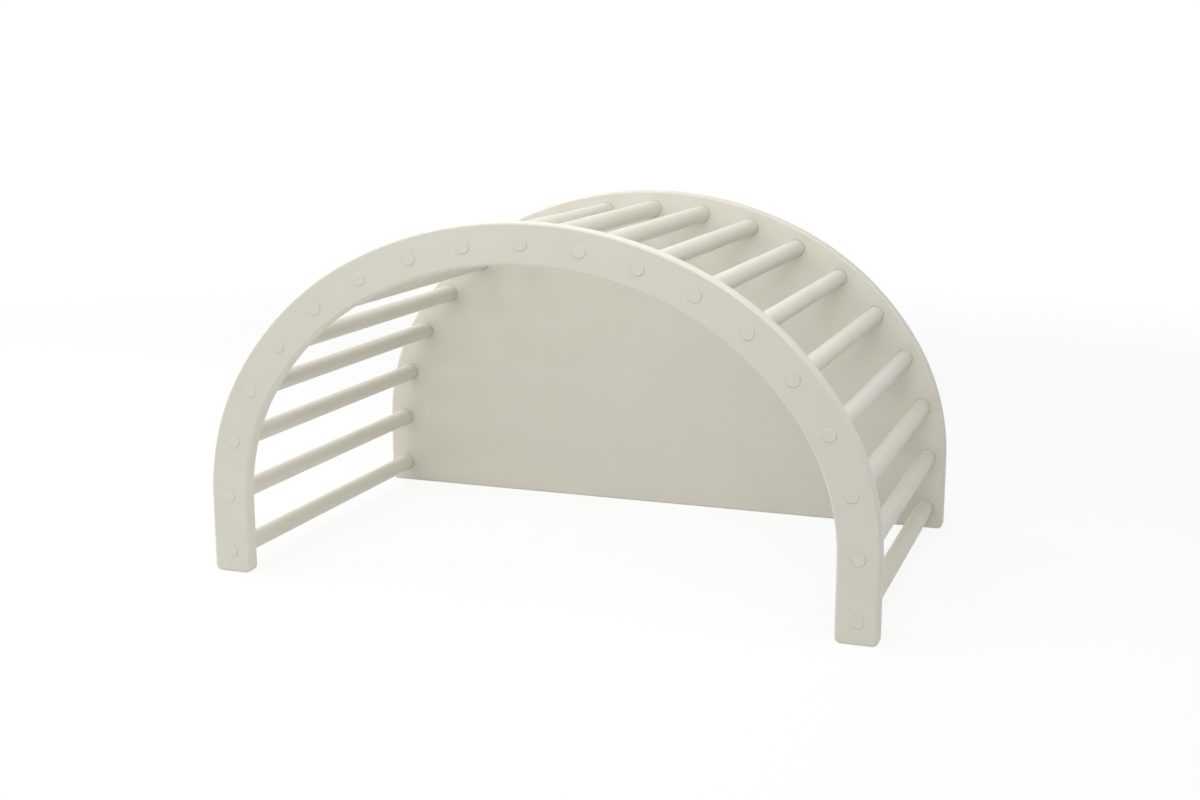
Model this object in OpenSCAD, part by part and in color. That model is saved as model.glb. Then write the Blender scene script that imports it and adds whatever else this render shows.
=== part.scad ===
// Wooden rocker arch: two painted plywood boards joined by nineteen round rungs.
// The front board is cut to a narrow band that leaves the arch open. The back board
// is solid. Turned over, the curved edges of the boards rock on the floor.
//
// Frame: x runs across the arch, y from front to back, z up. The origin is on the
// floor, in the middle of the arch.
// Each board is drawn in a flat frame of its own: x across, y up, z through the
// board, with its inner face at z = 0 and its outer face at z = board_t.

/* [Overall size] */
// Width over the two legs
width = 1020; // [940:10:1100]
// Height from the floor to the crown
height = 550; // [520:5:600]
// Depth over the outer faces of the two boards
depth = 624; // [500:2:700]

/* [Boards] */
// Thickness of a plywood board
board_t = 24; // [20:1:27]
// Width of the band that the front board is cut to
band_w = 60; // [54:1:72]
// Height of the straight part of a leg
leg_h = 116; // [90:2:140]
// Angle above the springing line at which the flank arc meets the haunch arc
flank_end = 32; // [28:1:36]
// Angle above the springing line at which the haunch arc meets the crown arc
haunch_end = 63; // [58:1:68]
// Radius rounded over the edges of both faces of a board
edge_r = 4; // [2:0.5:6]
// Radius of a leg's bottom corners, seen from the front
foot_r = 9; // [7:1:12]

/* [Rungs] */
// Diameter of a rung
rung_d = 28; // [24:1:32]
// Height of the lowest rungs' centres above the floor
low_rung_h = 34; // [28:1:45]
// Depth of the blind socket that takes a rung's end
socket_depth = 7; // [5:0.5:8]
// Play between a rung and its socket, on the diameter
socket_play = 0.8; // [0.4:0.1:1.2]
// Width of the eased edge at a socket's mouth
socket_ease = 0.6; // [0.3:0.1:1]
// Width of the chamfer at a rung's ends
rung_chamfer = 1; // [0.5:0.1:2]

/* [Screws] */
// Diameter of a screw over its thread
screw_d = 4.5; // [4:0.1:5]
// Length of a screw with its head
screw_len = 50; // [40:1:60]
// Length of a screw's point
screw_point = 6; // [4:0.5:8]
// Diameter of a screw's countersunk head
head_d = 8.6; // [8:0.2:9.4]
// Thickness of the straight rim of a screw's head
head_rim = 0.5; // [0.3:0.1:0.8]
// Depth of a screw head below the floor of the plug's recess
head_sink = 0.3; // [0.2:0.1:0.6]
// Size across the flats of the socket in a screw's head
drive_w = 3; // [2.5:0.5:4]
// Depth of the socket in a screw's head
drive_depth = 1.8; // [1:0.1:2]
// Play around a screw, on the diameter
screw_play = 0.3; // [0.2:0.1:0.6]
// Depth of a rung's pilot bore beyond the screw's point
pilot_spare = 2; // [1:0.5:5]

/* [Cover plugs] */
// Diameter of a cover plug
plug_d = 20; // [16:1:22]
// Depth of the recess that takes a cover plug
plug_recess = 5; // [4:0.5:6]
// Height of a cover plug above the board's face
plug_proud = 0.8; // [0.3:0.1:1]
// Radius rounded over a cover plug's visible edge
plug_r = 1; // [0.5:0.1:1.2]
// Play around a cover plug, on the diameter
plug_play = 0.4; // [0.2:0.1:0.8]

/* [Hidden] */
$fn = 128;
PAINT = "#cfccbf";
STEEL = "#b9bcc0";
CUT = 1;     // how far a cutting shape passes the face that it cuts
LAP = 1;     // how far one stretch of a board's rim runs into the next
SLIM = 0.1;  // how much slimmer the lapping stretch is, all round
rung_count = 19;

clear_depth = depth - 2 * board_t;
half_w = width / 2;
rise = height - leg_h;
leg_x = half_w - band_w / 2;

// The outline follows a half ellipse on straight legs, drawn as five arcs that meet
// in common tangents: a crown arc, two haunch arcs and two flank arcs. A flank arc is
// a little slacker than the ellipse where it springs from the leg.
flank_slack = 1.02;
flank_arc_r = flank_slack * rise * rise / half_w;
spare_w = half_w - flank_arc_r;
spare_h = rise - flank_arc_r;
span = cos(flank_end) * (1 - sin(haunch_end)) - cos(haunch_end) * (1 - sin(flank_end));
haunch_step = (spare_w * (1 - sin(haunch_end)) - spare_h * cos(haunch_end)) / span;
crown_step = (spare_h * cos(flank_end) - spare_w * (1 - sin(flank_end))) / span;
haunch_arc_r = flank_arc_r + haunch_step;
crown_arc_r = haunch_arc_r + crown_step;

// An arc is its centre, its radius and the angles at which it starts and ends
flank_c = [half_w - flank_arc_r, leg_h];
haunch_c = flank_c - haunch_step * [cos(flank_end), sin(flank_end)];
crown_c = [0, height - crown_arc_r];
flank = [flank_c, flank_arc_r, 0, flank_end];
haunch = [haunch_c, haunch_arc_r, flank_end, haunch_end];
crown = [crown_c, crown_arc_r, haunch_end, 180 - haunch_end];

// The rungs stand at one pitch along the centre line of the band
function line_r(arc) = arc[1] - band_w / 2;
function arc_len(radius, angle) = radius * angle * PI / 180;
function arc_turn(radius, length) = length / radius * 180 / PI;
function arc_point(arc, angle) = arc[0] + line_r(arc) * [cos(angle), sin(angle)];
crown_half = arc_len(line_r(crown), 90 - haunch_end);
haunch_len = arc_len(line_r(haunch), haunch_end - flank_end);
flank_len = arc_len(line_r(flank), flank_end);
crown_to_flank = crown_half + haunch_len;
crown_to_leg = crown_to_flank + flank_len;
line_half = crown_to_leg + leg_h - low_rung_h;
pitch = 2 * line_half / (rung_count - 1);

// Point on the right half of the centre line, at a distance down from the crown
function line_point(down) =
    down < crown_half ? arc_point(crown, 90 - arc_turn(line_r(crown), down))
    : down < crown_to_flank
        ? arc_point(haunch, haunch_end - arc_turn(line_r(haunch), down - crown_half))
    : down < crown_to_leg
        ? arc_point(flank, flank_end - arc_turn(line_r(flank), down - crown_to_flank))
    : [leg_x, leg_h - (down - crown_to_leg)];

// Centre of a rung, counted from 1 at the left foot over the crown to the right foot
function rung_at(i) =
    let (along = (i - (rung_count + 1) / 2) * pitch, right = line_point(abs(along)))
    [sign(along) * right[0], right[1]];

function rung_name(i) = str("rung_", i < 10 ? "0" : "", i);
RUNGS = [for (i = [1 : rung_count]) i];

// ---- Placing ----

// Stands the flat frame of the front board up in the arch
module at_front() {
    translate([0, -clear_depth / 2, 0])
        rotate([90, 0, 0])
            children();
}

// Stands the flat frame of the back board up in the arch
module at_back() {
    mirror([0, 1, 0])
        at_front()
            children();
}

module both_legs() {
    children();
    mirror([1, 0, 0])
        children();
}

module at_every_rung() {
    for (i = RUNGS)
        translate(rung_at(i))
            children();
}

// ---- Boards ----

// Section of a board's edge, rounded over at both faces: the edge is on x = 0 and the
// section reaches back from it. A slimmer section lies inside a full one all round.
module edge_section(reach, slim = 0) {
    inset = edge_r + slim;
    translate([-reach, slim])
        square([reach - inset, board_t - 2 * slim]);
    translate([-reach, inset])
        square([reach - slim, board_t - 2 * inset]);
    for (y = [inset, board_t - inset])
        translate([-inset, y])
            circle(edge_r);
}

// Section of a board's rim, rounded over at its inner edge too where the board is a band
module rim_section(is_band, slim = 0) {
    if (is_band)
        intersection() {
            edge_section(band_w, slim);
            translate([-band_w, 0])
                mirror([1, 0])
                    edge_section(band_w, slim);
        }
    else
        edge_section(band_w, slim);
}

// Sweeps the rim round one arc of the outline, and past both of its ends by a lap
module rim_arc(arc, is_band, slim = 0, past = 0) {
    lap_angle = arc_turn(arc[1], past);
    translate(arc[0])
        rotate_extrude(angle = arc[3] - arc[2] + 2 * lap_angle, start = arc[2] - lap_angle)
            translate([arc[1], 0])
                rim_section(is_band, slim);
}

// Rim along the whole outline, down to where the feet begin. The haunches and legs lap
// into the crown, flanks and feet and are a hair slimmer, so that no two curved faces
// lie on each other.
module rim(is_band) {
    rim_arc(crown, is_band);
    both_legs() {
        rim_arc(haunch, is_band, SLIM, LAP);
        rim_arc(flank, is_band);
        translate([half_w, leg_h + LAP, 0])
            rotate([90, 0, 0])
                linear_extrude(leg_h - foot_r + 2 * LAP)
                    rim_section(is_band, SLIM);
    }
}

// Rounded outer corner at the bottom of a leg
module foot_corner() {
    translate([half_w - foot_r, foot_r, 0])
        rotate(-90)
            rotate_extrude(angle = 90)
                translate([foot_r, 0])
                    edge_section(foot_r);
}

// Bottom edge that a board stands on, from the right foot's corner towards the left
module bottom_edge(length) {
    translate([half_w - foot_r, 0, 0])
        rotate([90, 0, -90])
            linear_extrude(length)
                edge_section(foot_r);
}

// Blind socket for a rung, with an eased mouth at the board's inner face
module socket() {
    socket_d = rung_d + socket_play;
    translate([0, 0, -CUT])
        cylinder(h = socket_depth + CUT, d = socket_d);
    cylinder(h = socket_ease, d1 = socket_d + 2 * socket_ease, d2 = socket_d);
}

// Recess for a cover plug, and the countersunk hole under it for a screw
module screw_hole() {
    recess_floor = board_t - plug_recess;
    cone_top = recess_floor - head_sink - head_rim;
    cone_h = (head_d - screw_d) / 2;
    translate([0, 0, recess_floor])
        cylinder(h = plug_recess + CUT, d = plug_d + plug_play);
    translate([0, 0, cone_top])
        cylinder(h = head_rim + head_sink + CUT, d = head_d + screw_play);
    translate([0, 0, cone_top - cone_h])
        cylinder(h = cone_h, d1 = screw_d + screw_play, d2 = head_d + screw_play);
    cylinder(h = cone_top, d = screw_d + screw_play);
}

module drilled() {
    difference() {
        union()
            children();
        at_every_rung() {
            socket();
            screw_hole();
        }
    }
}

module front_arch() {
    color(PAINT)
        at_front()
            drilled() {
                rim(is_band = true);
                both_legs() {
                    bottom_edge(band_w - 2 * foot_r);
                    foot_corner();
                    translate([leg_x, 0, 0])
                        mirror([1, 0, 0])
                            translate([-leg_x, 0, 0])
                                foot_corner();
                }
            }
}

module back_board() {
    middle = concat([for (i = RUNGS) rung_at(i)], [[leg_x, edge_r], [-leg_x, edge_r]]);
    color(PAINT)
        at_back()
            drilled() {
                linear_extrude(board_t)
                    polygon(middle);
                rim(is_band = false);
                bottom_edge(2 * (half_w - foot_r));
                both_legs()
                    foot_corner();
            }
}

// ---- Rungs ----

module rung(i) {
    length = clear_depth + 2 * socket_depth;
    pilot_depth = screw_reach + pilot_spare;
    place = rung_at(i);
    rung_r = rung_d / 2;
    color(PAINT)
        translate([place[0], 0, place[1]])
            rotate([90, 0, 0])
                difference() {
                    rotate_extrude()
                        polygon([
                            [0, -length / 2],
                            [rung_r - rung_chamfer, -length / 2],
                            [rung_r, -length / 2 + rung_chamfer],
                            [rung_r, length / 2 - rung_chamfer],
                            [rung_r - rung_chamfer, length / 2],
                            [0, length / 2]
                        ]);
                    for (end = [-1, 1])
                        translate([0, 0, end * (length - pilot_depth) / 2])
                            cylinder(h = pilot_depth + CUT, d = screw_d + screw_play, center = true);
                }
}

// ---- Fasteners ----

// Countersunk wood screw, its head's top on z = 0 and its point down
module screw() {
    neck_z = -head_rim - (head_d - screw_d) / 2;
    difference() {
        rotate_extrude()
            polygon([
                [0, 0],
                [head_d / 2, 0],
                [head_d / 2, -head_rim],
                [screw_d / 2, neck_z],
                [screw_d / 2, screw_point - screw_len],
                [0, -screw_len]
            ]);
        translate([0, 0, -drive_depth])
            cylinder(h = drive_depth + CUT, d = drive_w / cos(30), $fn = 6);
    }
}

module screws() {
    color(STEEL)
        at_every_rung()
            translate([0, 0, head_top])
                screw();
}

// Turned cover plug with a rounded edge, standing on the floor of its recess
module plug() {
    plug_h = plug_recess + plug_proud;
    rotate_extrude() {
        square([plug_d / 2, plug_h - plug_r]);
        square([plug_d / 2 - plug_r, plug_h]);
        translate([plug_d / 2 - plug_r, plug_h - plug_r])
            intersection() {
                circle(plug_r);
                square(plug_r);
            }
    }
}

module plugs() {
    color(PAINT)
        at_every_rung()
            translate([0, 0, board_t - plug_recess])
                plug();
}

// Height of a screw head's top in the board, and the depth its point reaches into a rung
head_top = board_t - plug_recess - head_sink;
screw_reach = screw_len - (head_top - socket_depth);

front_arch();
back_board();
for (i = RUNGS)
    rung(i);
at_front() screws();  // front_screws
at_back() screws();  // back_screws
at_front() plugs();  // front_plugs
at_back() plugs();  // back_plugs
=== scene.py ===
"""Wooden rocker arch: two painted plywood boards joined by nineteen painted rungs.

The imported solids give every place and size. The boards, rungs and cover plugs are
modelled again here with smooth rounded edges, and the screws keep their solids.
x runs across the arch, y from the open front to the back board, z up. The arch's lengths
are written as millimetres times MM, and the studio's as plain metres.
"""

import math

import bmesh
import bpy
from mathutils import Matrix, Vector


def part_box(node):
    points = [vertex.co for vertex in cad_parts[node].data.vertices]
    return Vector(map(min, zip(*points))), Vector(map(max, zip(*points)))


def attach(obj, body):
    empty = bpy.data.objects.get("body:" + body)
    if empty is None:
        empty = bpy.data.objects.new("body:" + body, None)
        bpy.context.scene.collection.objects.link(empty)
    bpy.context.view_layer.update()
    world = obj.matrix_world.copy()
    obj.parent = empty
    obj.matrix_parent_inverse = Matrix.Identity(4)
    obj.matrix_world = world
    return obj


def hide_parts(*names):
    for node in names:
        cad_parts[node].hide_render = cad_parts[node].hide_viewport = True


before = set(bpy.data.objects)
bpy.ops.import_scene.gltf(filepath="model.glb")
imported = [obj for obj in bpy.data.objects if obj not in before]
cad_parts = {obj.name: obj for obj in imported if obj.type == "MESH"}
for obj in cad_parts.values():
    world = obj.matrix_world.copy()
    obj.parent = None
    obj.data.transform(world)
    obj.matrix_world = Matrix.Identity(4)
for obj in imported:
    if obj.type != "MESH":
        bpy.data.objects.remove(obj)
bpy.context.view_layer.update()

MM = 0.001
DEGREE = math.pi / 180

# ---- Sizes of the boards ----
LEG_H = 116 * MM            # straight part of a leg
BAND_W = 60 * MM            # band that the front board is cut to
FLANK_END = 32 * DEGREE     # above the springing line, where the flank arc meets the haunch
HAUNCH_END = 63 * DEGREE    # and where the haunch arc meets the crown
FLANK_SLACK = 1.02          # flank arc's radius against the ellipse's own at the springing
EDGE_R = 4 * MM             # rounded over the edges of both faces
FOOT_R = 9 * MM             # bottom corners of the legs

# ---- Sizes of what goes into the boards ----
RUNG_D = 28 * MM
RUNG_CHAMFER = 1 * MM
SOCKET_DEPTH = 7 * MM
SOCKET_SEAM = 0.25 * MM     # what the paint leaves open round a rung in its socket
SOCKET_EASE = 0.4 * MM      # eased edge of the socket
PLUG_D = 20 * MM
PLUG_RECESS = 5 * MM
PLUG_PROUD = 0.8 * MM
PLUG_R = 1 * MM             # rounded edge of a plug's proud face
PLUG_SEAM = 0.08 * MM       # what the paint leaves open between a plug and its board
PLUG_EASE = 0.2 * MM        # eased edge of the recess round it
SCREW_D = 4.8 * MM          # clearance hole and pilot bore
HEAD_D = 8.9 * MM           # counterbore for a screw's head
HEAD_RIM = 0.5 * MM         # straight rim of a screw's head
HEAD_SINK = 0.3 * MM        # depth of the head below the floor of the plug's recess
SCREW_LEN = 50 * MM
PILOT_SPARE = 2 * MM        # bore in a rung beyond the screw's point
CUT = 1 * MM                # how far a cutter passes the face that it cuts

# ---- How finely round shapes are drawn ----
ARC_STEP = 1 * DEGREE
EDGE_STEPS = 6
FOOT_STEPS = 8
PLUG_STEPS = 4
ROUND_SIDES = 96
CIRCULAR = 0.5              # a bevel's profile that is part of a circle
SMOOTH_BELOW = 32 * DEGREE  # edges that turn less than this are shaded smooth
SAME_PLACE = 0.02 * MM      # points closer than this count as one place
WELD = 0.01 * MM            # points closer than this are merged
LOOKS_ALONG = 0.5           # a face looks along an axis when its normal reaches this far on it

# ---- What the frame gives ----
FRONT_LO, FRONT_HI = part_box("front_arch")
BACK_LO, BACK_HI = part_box("back_board")
HALF_W = FRONT_HI.x
HEIGHT = FRONT_HI.z
BOARD_T = FRONT_HI.y - FRONT_LO.y
RISE = HEIGHT - LEG_H
HEAD_TOP = BOARD_T - PLUG_RECESS - HEAD_SINK
PILOT_DEPTH = SCREW_LEN - (HEAD_TOP - SOCKET_DEPTH) + PILOT_SPARE
RUNG_NODES = sorted(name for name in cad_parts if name.startswith("rung_"))


def rung_place(name):
    """Where a rung's axis crosses the boards."""
    low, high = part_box(name)
    return Vector(((low.x + high.x) / 2, 0, (low.z + high.z) / 2))


RUNG_PLACES = [rung_place(name) for name in RUNG_NODES]


# ---- Modelling, one step at a time ----

def take(piece):
    """Makes a piece the only one selected, and the active one."""
    bpy.ops.object.select_all(action="DESELECT")
    piece.select_set(True)
    bpy.context.view_layer.objects.active = piece


def name_piece(name):
    """Names the object that was just added, and its mesh."""
    piece = bpy.context.object
    piece.name = name
    piece.data.name = name
    return piece


def pick(kind, wanted):
    """In edit mode, selects only the faces or edges that wanted() says yes to."""
    mesh = bmesh.from_edit_mesh(bpy.context.object.data)
    bpy.ops.mesh.select_mode(type=kind)
    bpy.ops.mesh.select_all(action="DESELECT")
    for part in (mesh.faces if kind == "FACE" else mesh.edges):
        if wanted(part):
            part.select_set(True)
    bmesh.update_edit_mesh(bpy.context.object.data)


def near(a, b):
    return abs(a - b) < SAME_PLACE


def edge_runs_along_y(edge):
    start, end = (corner.co for corner in edge.verts)
    return near(start.x, end.x) and near(start.z, end.z)


def finish_shading(piece):
    """Smooth rounded edges beside flat faces that stay flat."""
    take(piece)
    bpy.ops.object.shade_smooth_by_angle(angle=SMOOTH_BELOW)
    piece.modifiers.new("face_weights", "WEIGHTED_NORMAL").keep_sharp = True
    bpy.ops.object.modifier_apply(modifier="face_weights")


# ---- The outline: a crown arc, two haunch arcs and two flank arcs on straight legs ----

def outline_arcs():
    """(centre x, centre z, angle) of each arc, from the right leg over to the left one."""
    flank_r = FLANK_SLACK * RISE * RISE / HALF_W
    spare_w = HALF_W - flank_r
    spare_h = RISE - flank_r
    cos_flank, sin_flank = math.cos(FLANK_END), math.sin(FLANK_END)
    cos_haunch, sin_haunch = math.cos(HAUNCH_END), math.sin(HAUNCH_END)
    span = cos_flank * (1 - sin_haunch) - cos_haunch * (1 - sin_flank)
    haunch_step = (spare_w * (1 - sin_haunch) - spare_h * cos_haunch) / span
    crown_step = (spare_h * cos_flank - spare_w * (1 - sin_flank)) / span
    flank = (HALF_W - flank_r, LEG_H)
    haunch = (flank[0] - haunch_step * cos_flank, flank[1] - haunch_step * sin_flank)
    crown_z = HEIGHT - (flank_r + haunch_step + crown_step)
    right = [(*flank, FLANK_END), (*haunch, HAUNCH_END - FLANK_END)]
    left = [(-x, z, angle) for x, z, angle in reversed(right)]
    return [*right, (0, crown_z, math.pi - 2 * HAUNCH_END), *left]


def sweep_over_the_arch():
    """Carries the selected end from the top of the right leg over and down the left leg."""
    for x, z, angle in outline_arcs():
        steps = round(angle / ARC_STEP)
        bpy.ops.mesh.spin(steps=steps, angle=angle, center=(x, 0, z), axis=(0, 1, 0))
    bpy.ops.mesh.extrude_region_move(TRANSFORM_OT_translate={"value": (0, 0, -LEG_H)})


def round_the_feet(corners_x):
    """Rounds the bottom corners that stand at these places across the arch."""
    pick("EDGE", lambda e: edge_runs_along_y(e) and near(e.verts[0].co.z, 0)
         and any(near(e.verts[0].co.x, x) for x in corners_x))
    bpy.ops.mesh.bevel(offset=FOOT_R, segments=FOOT_STEPS, profile=CIRCULAR, affect="EDGES")


def round_over_the_faces():
    """Rounds over every edge between a face that looks along y and the rim."""
    def turns_from_face_to_rim(edge):
        along_y = [abs(face.normal.y) > LOOKS_ALONG for face in edge.link_faces]
        return sorted(along_y) == [False, True]

    pick("EDGE", turns_from_face_to_rim)
    bpy.ops.mesh.bevel(offset=EDGE_R, segments=EDGE_STEPS, profile=CIRCULAR, affect="EDGES")


def cut_front_board():
    """The leg is a block, and its top face is carried round as the band."""
    bpy.ops.mesh.primitive_cube_add(size=1)
    board = name_piece("front_board")
    bpy.ops.object.mode_set(mode="EDIT")
    bpy.ops.transform.resize(value=(BAND_W, BOARD_T, LEG_H))
    bpy.ops.transform.translate(
        value=(HALF_W - BAND_W / 2, (FRONT_LO.y + FRONT_HI.y) / 2, LEG_H / 2))
    pick("FACE", lambda f: f.normal.z > LOOKS_ALONG)
    sweep_over_the_arch()
    bpy.ops.mesh.select_all(action="SELECT")
    bpy.ops.mesh.normals_make_consistent(inside=False)
    inner_x = HALF_W - BAND_W
    round_the_feet([HALF_W, inner_x, -inner_x, -HALF_W])
    round_over_the_faces()
    bpy.ops.object.mode_set(mode="OBJECT")
    return board


def cut_back_board():
    """The rim goes round as a strip from the bottom edge, and both faces are filled in."""
    bpy.ops.mesh.primitive_plane_add(size=1)
    board = name_piece("rear_board")
    bpy.ops.object.mode_set(mode="EDIT")
    bpy.ops.transform.resize(value=(2 * HALF_W, BOARD_T, 1))
    bpy.ops.transform.translate(value=(0, (BACK_LO.y + BACK_HI.y) / 2, 0))
    pick("EDGE", lambda e: edge_runs_along_y(e) and e.verts[0].co.x > 0)
    bpy.ops.mesh.extrude_region_move(TRANSFORM_OT_translate={"value": (0, 0, LEG_H)})
    sweep_over_the_arch()
    bpy.ops.mesh.select_all(action="SELECT")
    bpy.ops.mesh.remove_doubles(threshold=WELD)
    for face_y in (BACK_LO.y, BACK_HI.y):
        pick("EDGE", lambda e: all(near(v.co.y, face_y) for v in e.verts))
        bpy.ops.mesh.edge_face_add()
    bpy.ops.mesh.select_all(action="SELECT")
    bpy.ops.mesh.normals_make_consistent(inside=False)
    round_the_feet([HALF_W, -HALF_W])
    round_over_the_faces()
    bpy.ops.object.mode_set(mode="OBJECT")
    return board


# ---- Turned shapes: rungs, plugs and the drills for their holes ----

def turn(name, stations):
    """A turned solid on the y axis. Each station is a place along y and the radius there."""
    (start, radius), *rest = stations
    bpy.ops.mesh.primitive_circle_add(vertices=ROUND_SIDES, radius=radius, fill_type="NGON")
    piece = name_piece(name)
    bpy.ops.object.mode_set(mode="EDIT")
    bpy.ops.transform.rotate(value=math.pi / 2, orient_axis="X", center_override=(0, 0, 0))
    bpy.ops.transform.translate(value=(0, start, 0))
    for along, next_radius in rest:
        bpy.ops.mesh.extrude_region_move(TRANSFORM_OT_translate={"value": (0, along - start, 0)})
        ratio = next_radius / radius
        bpy.ops.transform.resize(value=(ratio, 1, ratio), center_override=(0, along, 0))
        start, radius = along, next_radius
    bpy.ops.mesh.select_all(action="SELECT")
    bpy.ops.mesh.normals_make_consistent(inside=False)
    bpy.ops.object.mode_set(mode="OBJECT")
    return piece


def copy_to(piece, place):
    """A copy of a piece, with its own mesh and its place in that mesh."""
    copy = piece.copy()
    copy.data = piece.data.copy()
    bpy.context.scene.collection.objects.link(copy)
    take(copy)
    bpy.ops.transform.translate(value=place)
    bpy.ops.object.transform_apply(location=True, rotation=False, scale=False)
    return copy


def one_at_every_rung(piece):
    """Nineteen copies joined into one piece, which takes the name of the first."""
    name = piece.name
    copies = [copy_to(piece, place) for place in RUNG_PLACES]
    bpy.data.objects.remove(piece)
    bpy.ops.object.select_all(action="DESELECT")
    for copy in copies:
        copy.select_set(True)
    bpy.context.view_layer.objects.active = copies[0]
    bpy.ops.object.join()
    return name_piece(name)


def drill(inner_y, outward):
    """The drill for a rung's socket, the screw's hole and the plug's recess in one board.

    It starts at the board's inner face and goes outward, which is 1 or -1 along y. The
    countersink for the screw's head is a right-angled cone."""
    socket_r = RUNG_D / 2 + SOCKET_SEAM
    shaft_r = SCREW_D / 2
    head_r = HEAD_D / 2
    recess_r = PLUG_D / 2 + PLUG_SEAM
    recess_floor = BOARD_T - PLUG_RECESS
    cone_top = HEAD_TOP - HEAD_RIM
    depths = [
        (-CUT, socket_r + SOCKET_EASE),
        (0, socket_r + SOCKET_EASE),
        (SOCKET_EASE, socket_r),
        (SOCKET_DEPTH, socket_r),
        (SOCKET_DEPTH, shaft_r),
        (cone_top - (head_r - shaft_r), shaft_r),
        (cone_top, head_r),
        (recess_floor, head_r),
        (recess_floor, recess_r),
        (BOARD_T - PLUG_EASE, recess_r),
        (BOARD_T, recess_r + PLUG_EASE),
        (BOARD_T + CUT, recess_r + PLUG_EASE),
    ]
    return turn("drill", [(inner_y + outward * depth, radius) for depth, radius in depths])


def drill_board(board, inner_y, outward):
    """Drills a board for all the rungs, from its inner face outward."""
    drills = one_at_every_rung(drill(inner_y, outward))
    take(board)
    cut = board.modifiers.new("holes", "BOOLEAN")
    cut.operation = "DIFFERENCE"
    cut.solver = "EXACT"
    cut.object = drills
    bpy.ops.object.modifier_apply(modifier="holes")
    bpy.data.objects.remove(drills)
    finish_shading(board)


def turn_plugs(name, outer_y, outward):
    """Cover plugs: discs with a softly rounded edge that stands a little proud."""
    plug_r = PLUG_D / 2
    floor_y = outer_y - outward * PLUG_RECESS
    top_y = outer_y + outward * PLUG_PROUD
    plug = turn(name, [(floor_y, plug_r), (top_y, plug_r)])
    take(plug)
    bpy.ops.object.mode_set(mode="EDIT")
    pick("EDGE", lambda e: all(near(v.co.y, top_y) for v in e.verts))
    bpy.ops.mesh.bevel(offset=PLUG_R, segments=PLUG_STEPS, profile=CIRCULAR, affect="EDGES")
    bpy.ops.object.mode_set(mode="OBJECT")
    finish_shading(plug)
    return one_at_every_rung(plug)


def turn_rung(name):
    """A rung, chamfered at its ends, with a bore in each for the screw."""
    low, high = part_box(RUNG_NODES[0])
    rung_r = RUNG_D / 2
    bore_r = SCREW_D / 2
    rung = turn(name, [
        (low.y + PILOT_DEPTH, bore_r),
        (low.y, bore_r),
        (low.y, rung_r - RUNG_CHAMFER),
        (low.y + RUNG_CHAMFER, rung_r),
        (high.y - RUNG_CHAMFER, rung_r),
        (high.y, rung_r - RUNG_CHAMFER),
        (high.y, bore_r),
        (high.y - PILOT_DEPTH, bore_r),
    ])
    finish_shading(rung)
    return rung


# ---- Materials ----

def hex_colour(code):
    """Linear colour of an sRGB hex code."""
    def linear(channel):
        return channel / 12.92 if channel <= 0.04045 else ((channel + 0.055) / 1.055) ** 2.4

    return (*[linear(int(code[i:i + 2], 16) / 255) for i in (1, 3, 5)], 1)


def node(tree, kind, settings=None, inputs=None):
    """Adds a node. Each input is a value, or the socket of another node that feeds it."""
    made = tree.nodes.new(kind)
    for key, value in (settings or {}).items():
        setattr(made, key, value)
    for key, value in (inputs or {}).items():
        if isinstance(value, bpy.types.NodeSocket):
            tree.links.new(value, made.inputs[key])
        else:
            made.inputs[key].default_value = value
    return made


def new_material(name):
    material = bpy.data.materials.new(name)
    material.use_nodes = True
    material.node_tree.nodes.clear()
    return material, material.node_tree


# Reliefs in the wood that show through the paint: lengths along x, y and z in mm, height
FACE_VENEER = ((70, 300, 2.5), 0.03 * MM)
PLY_EDGES = ((400, 1.8, 400), 0.02 * MM)
BEECH_GRAIN = ((2, 45, 2), 0.03 * MM)
PLUG_GRAIN = ((3, 60, 12), 0.02 * MM)

# Where each wood's noise is taken from, so that no two show the same clouds
BOARD_SPOT, RUNG_SPOT, PLUG_SPOT = 0, 3.7, 8.1

PAINT_LIGHT = "#dcd9cd"
PAINT_DEEP = "#d6d3c6"
PAINT_CLOUD = 90 * MM       # size of the clouds in its colour
PAINT_SHEEN = (0.42, 0.5)   # roughness where it is glossier and where it is duller
SHEEN_CLOUD = 25 * MM       # size of the spots between which its sheen varies
PAINT_IOR = 1.5
ORANGE_PEEL = 3 * MM
PEEL_HEIGHT = 0.02 * MM
NOISE_LOW, NOISE_HIGH = 0.3, 0.7

ZINC_DULL = "#a9adb3"
ZINC_BRIGHT = "#c6c9cc"
ZINC_CLOUD = 1.5 * MM
ZINC_SHEEN = (0.28, 0.42)
ZINC_RELIEF = 0.01 * MM


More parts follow.
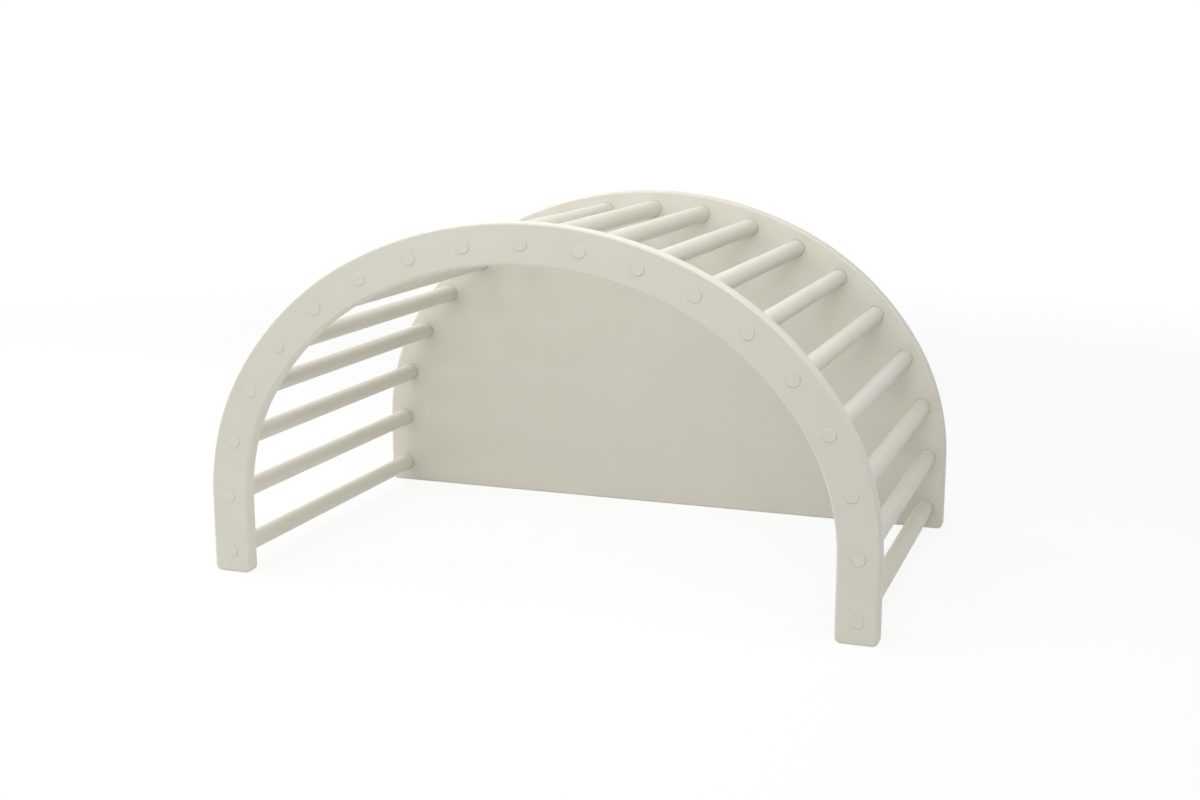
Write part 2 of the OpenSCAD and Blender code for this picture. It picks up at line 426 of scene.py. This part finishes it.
def satin_paint(name, reliefs, spot):
    """Water-based satin paint, sprayed in thin coats on sanded wood.

    The eye gets one even greige with a soft sheen, slightly cloudy where the film is
    thicker and a little duller in spots. A fine orange peel lies over it, and the wood
    shows through as long low reliefs, each with its grain's lengths in millimetres along
    x, y and z and its height."""
    material, tree = new_material(name)
    place = node(tree, "ShaderNodeTexCoord").outputs["Object"]
    moved = node(tree, "ShaderNodeMapping", inputs={
        "Vector": place, "Location": (spot, spot, spot)}).outputs["Vector"]

    def noise(vector, size, detail):
        return node(tree, "ShaderNodeTexNoise", inputs={
            "Vector": vector, "Scale": 1 / size, "Detail": detail, "Roughness": 0.5}).outputs["Fac"]

    colour = node(tree, "ShaderNodeMix", {"data_type": "RGBA"}, {
        0: noise(moved, PAINT_CLOUD, 3), 6: hex_colour(PAINT_DEEP), 7: hex_colour(PAINT_LIGHT)})
    normal = node(tree, "ShaderNodeBump", inputs={
        "Height": noise(moved, ORANGE_PEEL, 1), "Distance": PEEL_HEIGHT}).outputs["Normal"]
    for grain_mm, height in reliefs:
        along_grain = node(tree, "ShaderNodeMapping", inputs={
            "Vector": moved, "Scale": [1 / (size * MM) for size in grain_mm]}).outputs["Vector"]
        normal = node(tree, "ShaderNodeBump", inputs={
            "Height": noise(along_grain, 1, 3), "Distance": height, "Normal": normal}).outputs["Normal"]
    roughness = node(tree, "ShaderNodeMapRange", inputs={
        "Value": noise(moved, SHEEN_CLOUD, 2), "From Min": NOISE_LOW, "From Max": NOISE_HIGH,
        "To Min": PAINT_SHEEN[0], "To Max": PAINT_SHEEN[1]})
    paint = node(tree, "ShaderNodeBsdfPrincipled", inputs={
        "Base Color": colour.outputs[2], "Roughness": roughness.outputs["Result"],
        "IOR": PAINT_IOR, "Normal": normal})
    node(tree, "ShaderNodeOutputMaterial", inputs={"Surface": paint.outputs["BSDF"]})
    return material


def zinc_plated_steel(name):
    """Cold-headed steel, zinc plated: a cool bright grey with a slightly clouded gloss."""
    material, tree = new_material(name)
    place = node(tree, "ShaderNodeTexCoord").outputs["Object"]
    cloud = node(tree, "ShaderNodeTexNoise", inputs={
        "Vector": place, "Scale": 1 / ZINC_CLOUD, "Detail": 3})
    colour = node(tree, "ShaderNodeMix", {"data_type": "RGBA"}, {
        0: cloud.outputs["Fac"], 6: hex_colour(ZINC_DULL), 7: hex_colour(ZINC_BRIGHT)})
    roughness = node(tree, "ShaderNodeMapRange", inputs={
        "Value": cloud.outputs["Fac"], "To Min": ZINC_SHEEN[0], "To Max": ZINC_SHEEN[1]})
    bump = node(tree, "ShaderNodeBump", inputs={
        "Height": cloud.outputs["Fac"], "Distance": ZINC_RELIEF})
    steel = node(tree, "ShaderNodeBsdfPrincipled", inputs={
        "Base Color": colour.outputs[2], "Metallic": 1, "Roughness": roughness.outputs["Result"],
        "Normal": bump.outputs["Normal"]})
    node(tree, "ShaderNodeOutputMaterial", inputs={"Surface": steel.outputs["BSDF"]})
    return material


def dress(piece, material):
    """Gives a piece one material."""
    piece.data.materials.clear()
    piece.data.materials.append(material)


# ---- The pieces ----

def place_boards():
    material = satin_paint("satin_paint_on_plywood", [FACE_VENEER, PLY_EDGES], BOARD_SPOT)
    front = cut_front_board()
    drill_board(front, FRONT_HI.y, -1)
    back = cut_back_board()
    drill_board(back, BACK_LO.y, 1)
    for board, solid in ((front, "front_arch"), (back, "back_board")):
        dress(board, material)
        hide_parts(solid)
        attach(board, "root")


def place_rungs():
    material = satin_paint("satin_paint_on_beech", [BEECH_GRAIN], RUNG_SPOT)
    first = turn_rung("turned_rung")
    for solid, place in zip(RUNG_NODES, RUNG_PLACES):
        rung = copy_to(first, place)
        rung.name = "painted_" + solid
        rung.data.name = rung.name
        dress(rung, material)
        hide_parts(solid)
        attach(rung, "root")
    bpy.data.objects.remove(first)


def place_plugs():
    material = satin_paint("satin_paint_on_plugs", [PLUG_GRAIN], PLUG_SPOT)
    for name, solid, outer_y, outward in (
        ("front_cover_plugs", "front_plugs", FRONT_LO.y, -1),
        ("back_cover_plugs", "back_plugs", BACK_HI.y, 1),
    ):
        plugs = turn_plugs(name, outer_y, outward)
        dress(plugs, material)
        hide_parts(solid)
        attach(plugs, "root")


def finish_screws():
    material = zinc_plated_steel("zinc_plated_steel")
    for name in ("front_screws", "back_screws"):
        dress(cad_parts[name], material)


# ---- Studio ----

# The camera stands where the photo was taken from, as its outline and rungs tell.
CAMERA_PLACE = (847.1 * MM, -2361.1 * MM, 761.2 * MM)
CAMERA_YAW = 19.613 * DEGREE
CAMERA_DOWN = 11.707 * DEGREE
CAMERA_ROLL = 0.035 * DEGREE
CAMERA_LENS = 48.57         # millimetres, on a sensor 36 wide
SENSOR_W = 36

FLOOR_SIZE = 30
PAPER_WHITE = (0.9, 0.9, 0.9, 1)
PURE_WHITE = (1, 1, 1, 1)
SHADOW_REACH = 1.2          # within this far of the middle the paper keeps its shadow
SHADOW_END = 3.6            # and from here on it is plain white
WHITE_SHARE = 0.85          # of the paper's look that is plain white where it keeps it

LIGHTS_AIM = Vector((0, 0, 0.3))
AIR_LIGHT = 0.34            # faint light from all round, 1 being white


def set_camera():
    data = bpy.data.cameras.new("camera")
    data.lens = CAMERA_LENS
    data.sensor_width = SENSOR_W
    camera = bpy.data.objects.new("camera", data)
    camera.matrix_world = (
        Matrix.Translation(CAMERA_PLACE)
        @ Matrix.Rotation(CAMERA_YAW, 4, "Z")
        @ Matrix.Rotation(math.pi / 2 - CAMERA_DOWN, 4, "X")
        @ Matrix.Rotation(CAMERA_ROLL, 4, "Z")
    )
    bpy.context.scene.collection.objects.link(camera)
    bpy.context.scene.camera = camera


def seen_directly(tree):
    """1 on rays from the camera, from gloss and through glass."""
    path = node(tree, "ShaderNodeLightPath").outputs
    seen = node(tree, "ShaderNodeMath", {"operation": "MAXIMUM"}, {
        0: path["Is Camera Ray"], 1: path["Is Glossy Ray"]})
    return node(tree, "ShaderNodeMath", {"operation": "MAXIMUM"}, {
        0: seen.outputs[0], 1: path["Is Transmission Ray"]}).outputs[0]


def lay_floor():
    """A wide sheet of white paper. It keeps a soft shadow near the arch, and its white
    runs on into the background further out."""
    bpy.ops.mesh.primitive_plane_add(size=FLOOR_SIZE)
    floor = name_piece("studio_floor")
    material, tree = new_material("white_paper")
    place = node(tree, "ShaderNodeTexCoord").outputs["Object"]
    distance = node(tree, "ShaderNodeVectorMath", {"operation": "LENGTH"}, {0: place})
    share = node(tree, "ShaderNodeMapRange", {"interpolation_type": "SMOOTHSTEP"}, {
        "Value": distance.outputs["Value"], "From Min": SHADOW_REACH, "From Max": SHADOW_END,
        "To Min": WHITE_SHARE, "To Max": 1})
    seen_share = node(tree, "ShaderNodeMath", {"operation": "MULTIPLY"}, {
        0: seen_directly(tree), 1: share.outputs["Result"]})
    paper = node(tree, "ShaderNodeBsdfDiffuse", inputs={"Color": PAPER_WHITE})
    white = node(tree, "ShaderNodeEmission", inputs={"Color": PURE_WHITE, "Strength": 1})
    surface = node(tree, "ShaderNodeMixShader", inputs={
        0: seen_share.outputs[0], 1: paper.outputs[0], 2: white.outputs[0]})
    node(tree, "ShaderNodeOutputMaterial", inputs={"Surface": surface.outputs[0]})
    floor.data.materials.append(material)


def light_the_air():
    """Faint light from all round, which the camera sees as a white background."""
    world = bpy.data.worlds.new("studio_air")
    bpy.context.scene.world = world
    world.use_nodes = True
    tree = world.node_tree
    tree.nodes.clear()
    level = node(tree, "ShaderNodeMapRange", inputs={
        "Value": seen_directly(tree), "To Min": AIR_LIGHT, "To Max": 1})
    air = node(tree, "ShaderNodeBackground", inputs={
        "Color": PURE_WHITE, "Strength": level.outputs["Result"]})
    node(tree, "ShaderNodeOutputWorld", inputs={"Surface": air.outputs[0]})


def hang_softbox(name, turned, raised, distance, size, radiance):
    """A square softbox that looks at the arch. It hangs so many degrees round to the right
    of its front and so many up, and glows at the given level, 1 being white."""
    round_by, up_by = turned * DEGREE, raised * DEGREE
    data = bpy.data.lights.new(name, "AREA")
    data.size = size
    data.energy = radiance * math.pi * size * size
    lamp = bpy.data.objects.new(name, data)
    away = Vector((
        math.cos(up_by) * math.sin(round_by),
        -math.cos(up_by) * math.cos(round_by),
        math.sin(up_by)))
    facing = away.to_track_quat("Z", "Y").to_matrix().to_4x4()
    lamp.matrix_world = Matrix.Translation(LIGHTS_AIM + distance * away) @ facing
    lamp.visible_camera = False
    bpy.context.scene.collection.objects.link(lamp)


def light_studio():
    light_the_air()
    hang_softbox("left_softbox", turned=-90, raised=35, distance=1.9, size=2.8, radiance=1.6)
    hang_softbox("front_softbox", turned=0, raised=50, distance=1.4, size=1.6, radiance=0.9)
    hang_softbox("right_softbox", turned=60, raised=55, distance=1.7, size=1.2, radiance=2.3)
    hang_softbox("back_softbox", turned=180, raised=45, distance=2.2, size=1.4, radiance=0.4)
    bpy.context.scene.view_settings.view_transform = "Standard"


set_camera()
lay_floor()
light_studio()
place_boards()
place_rungs()
place_plugs()
finish_screws()
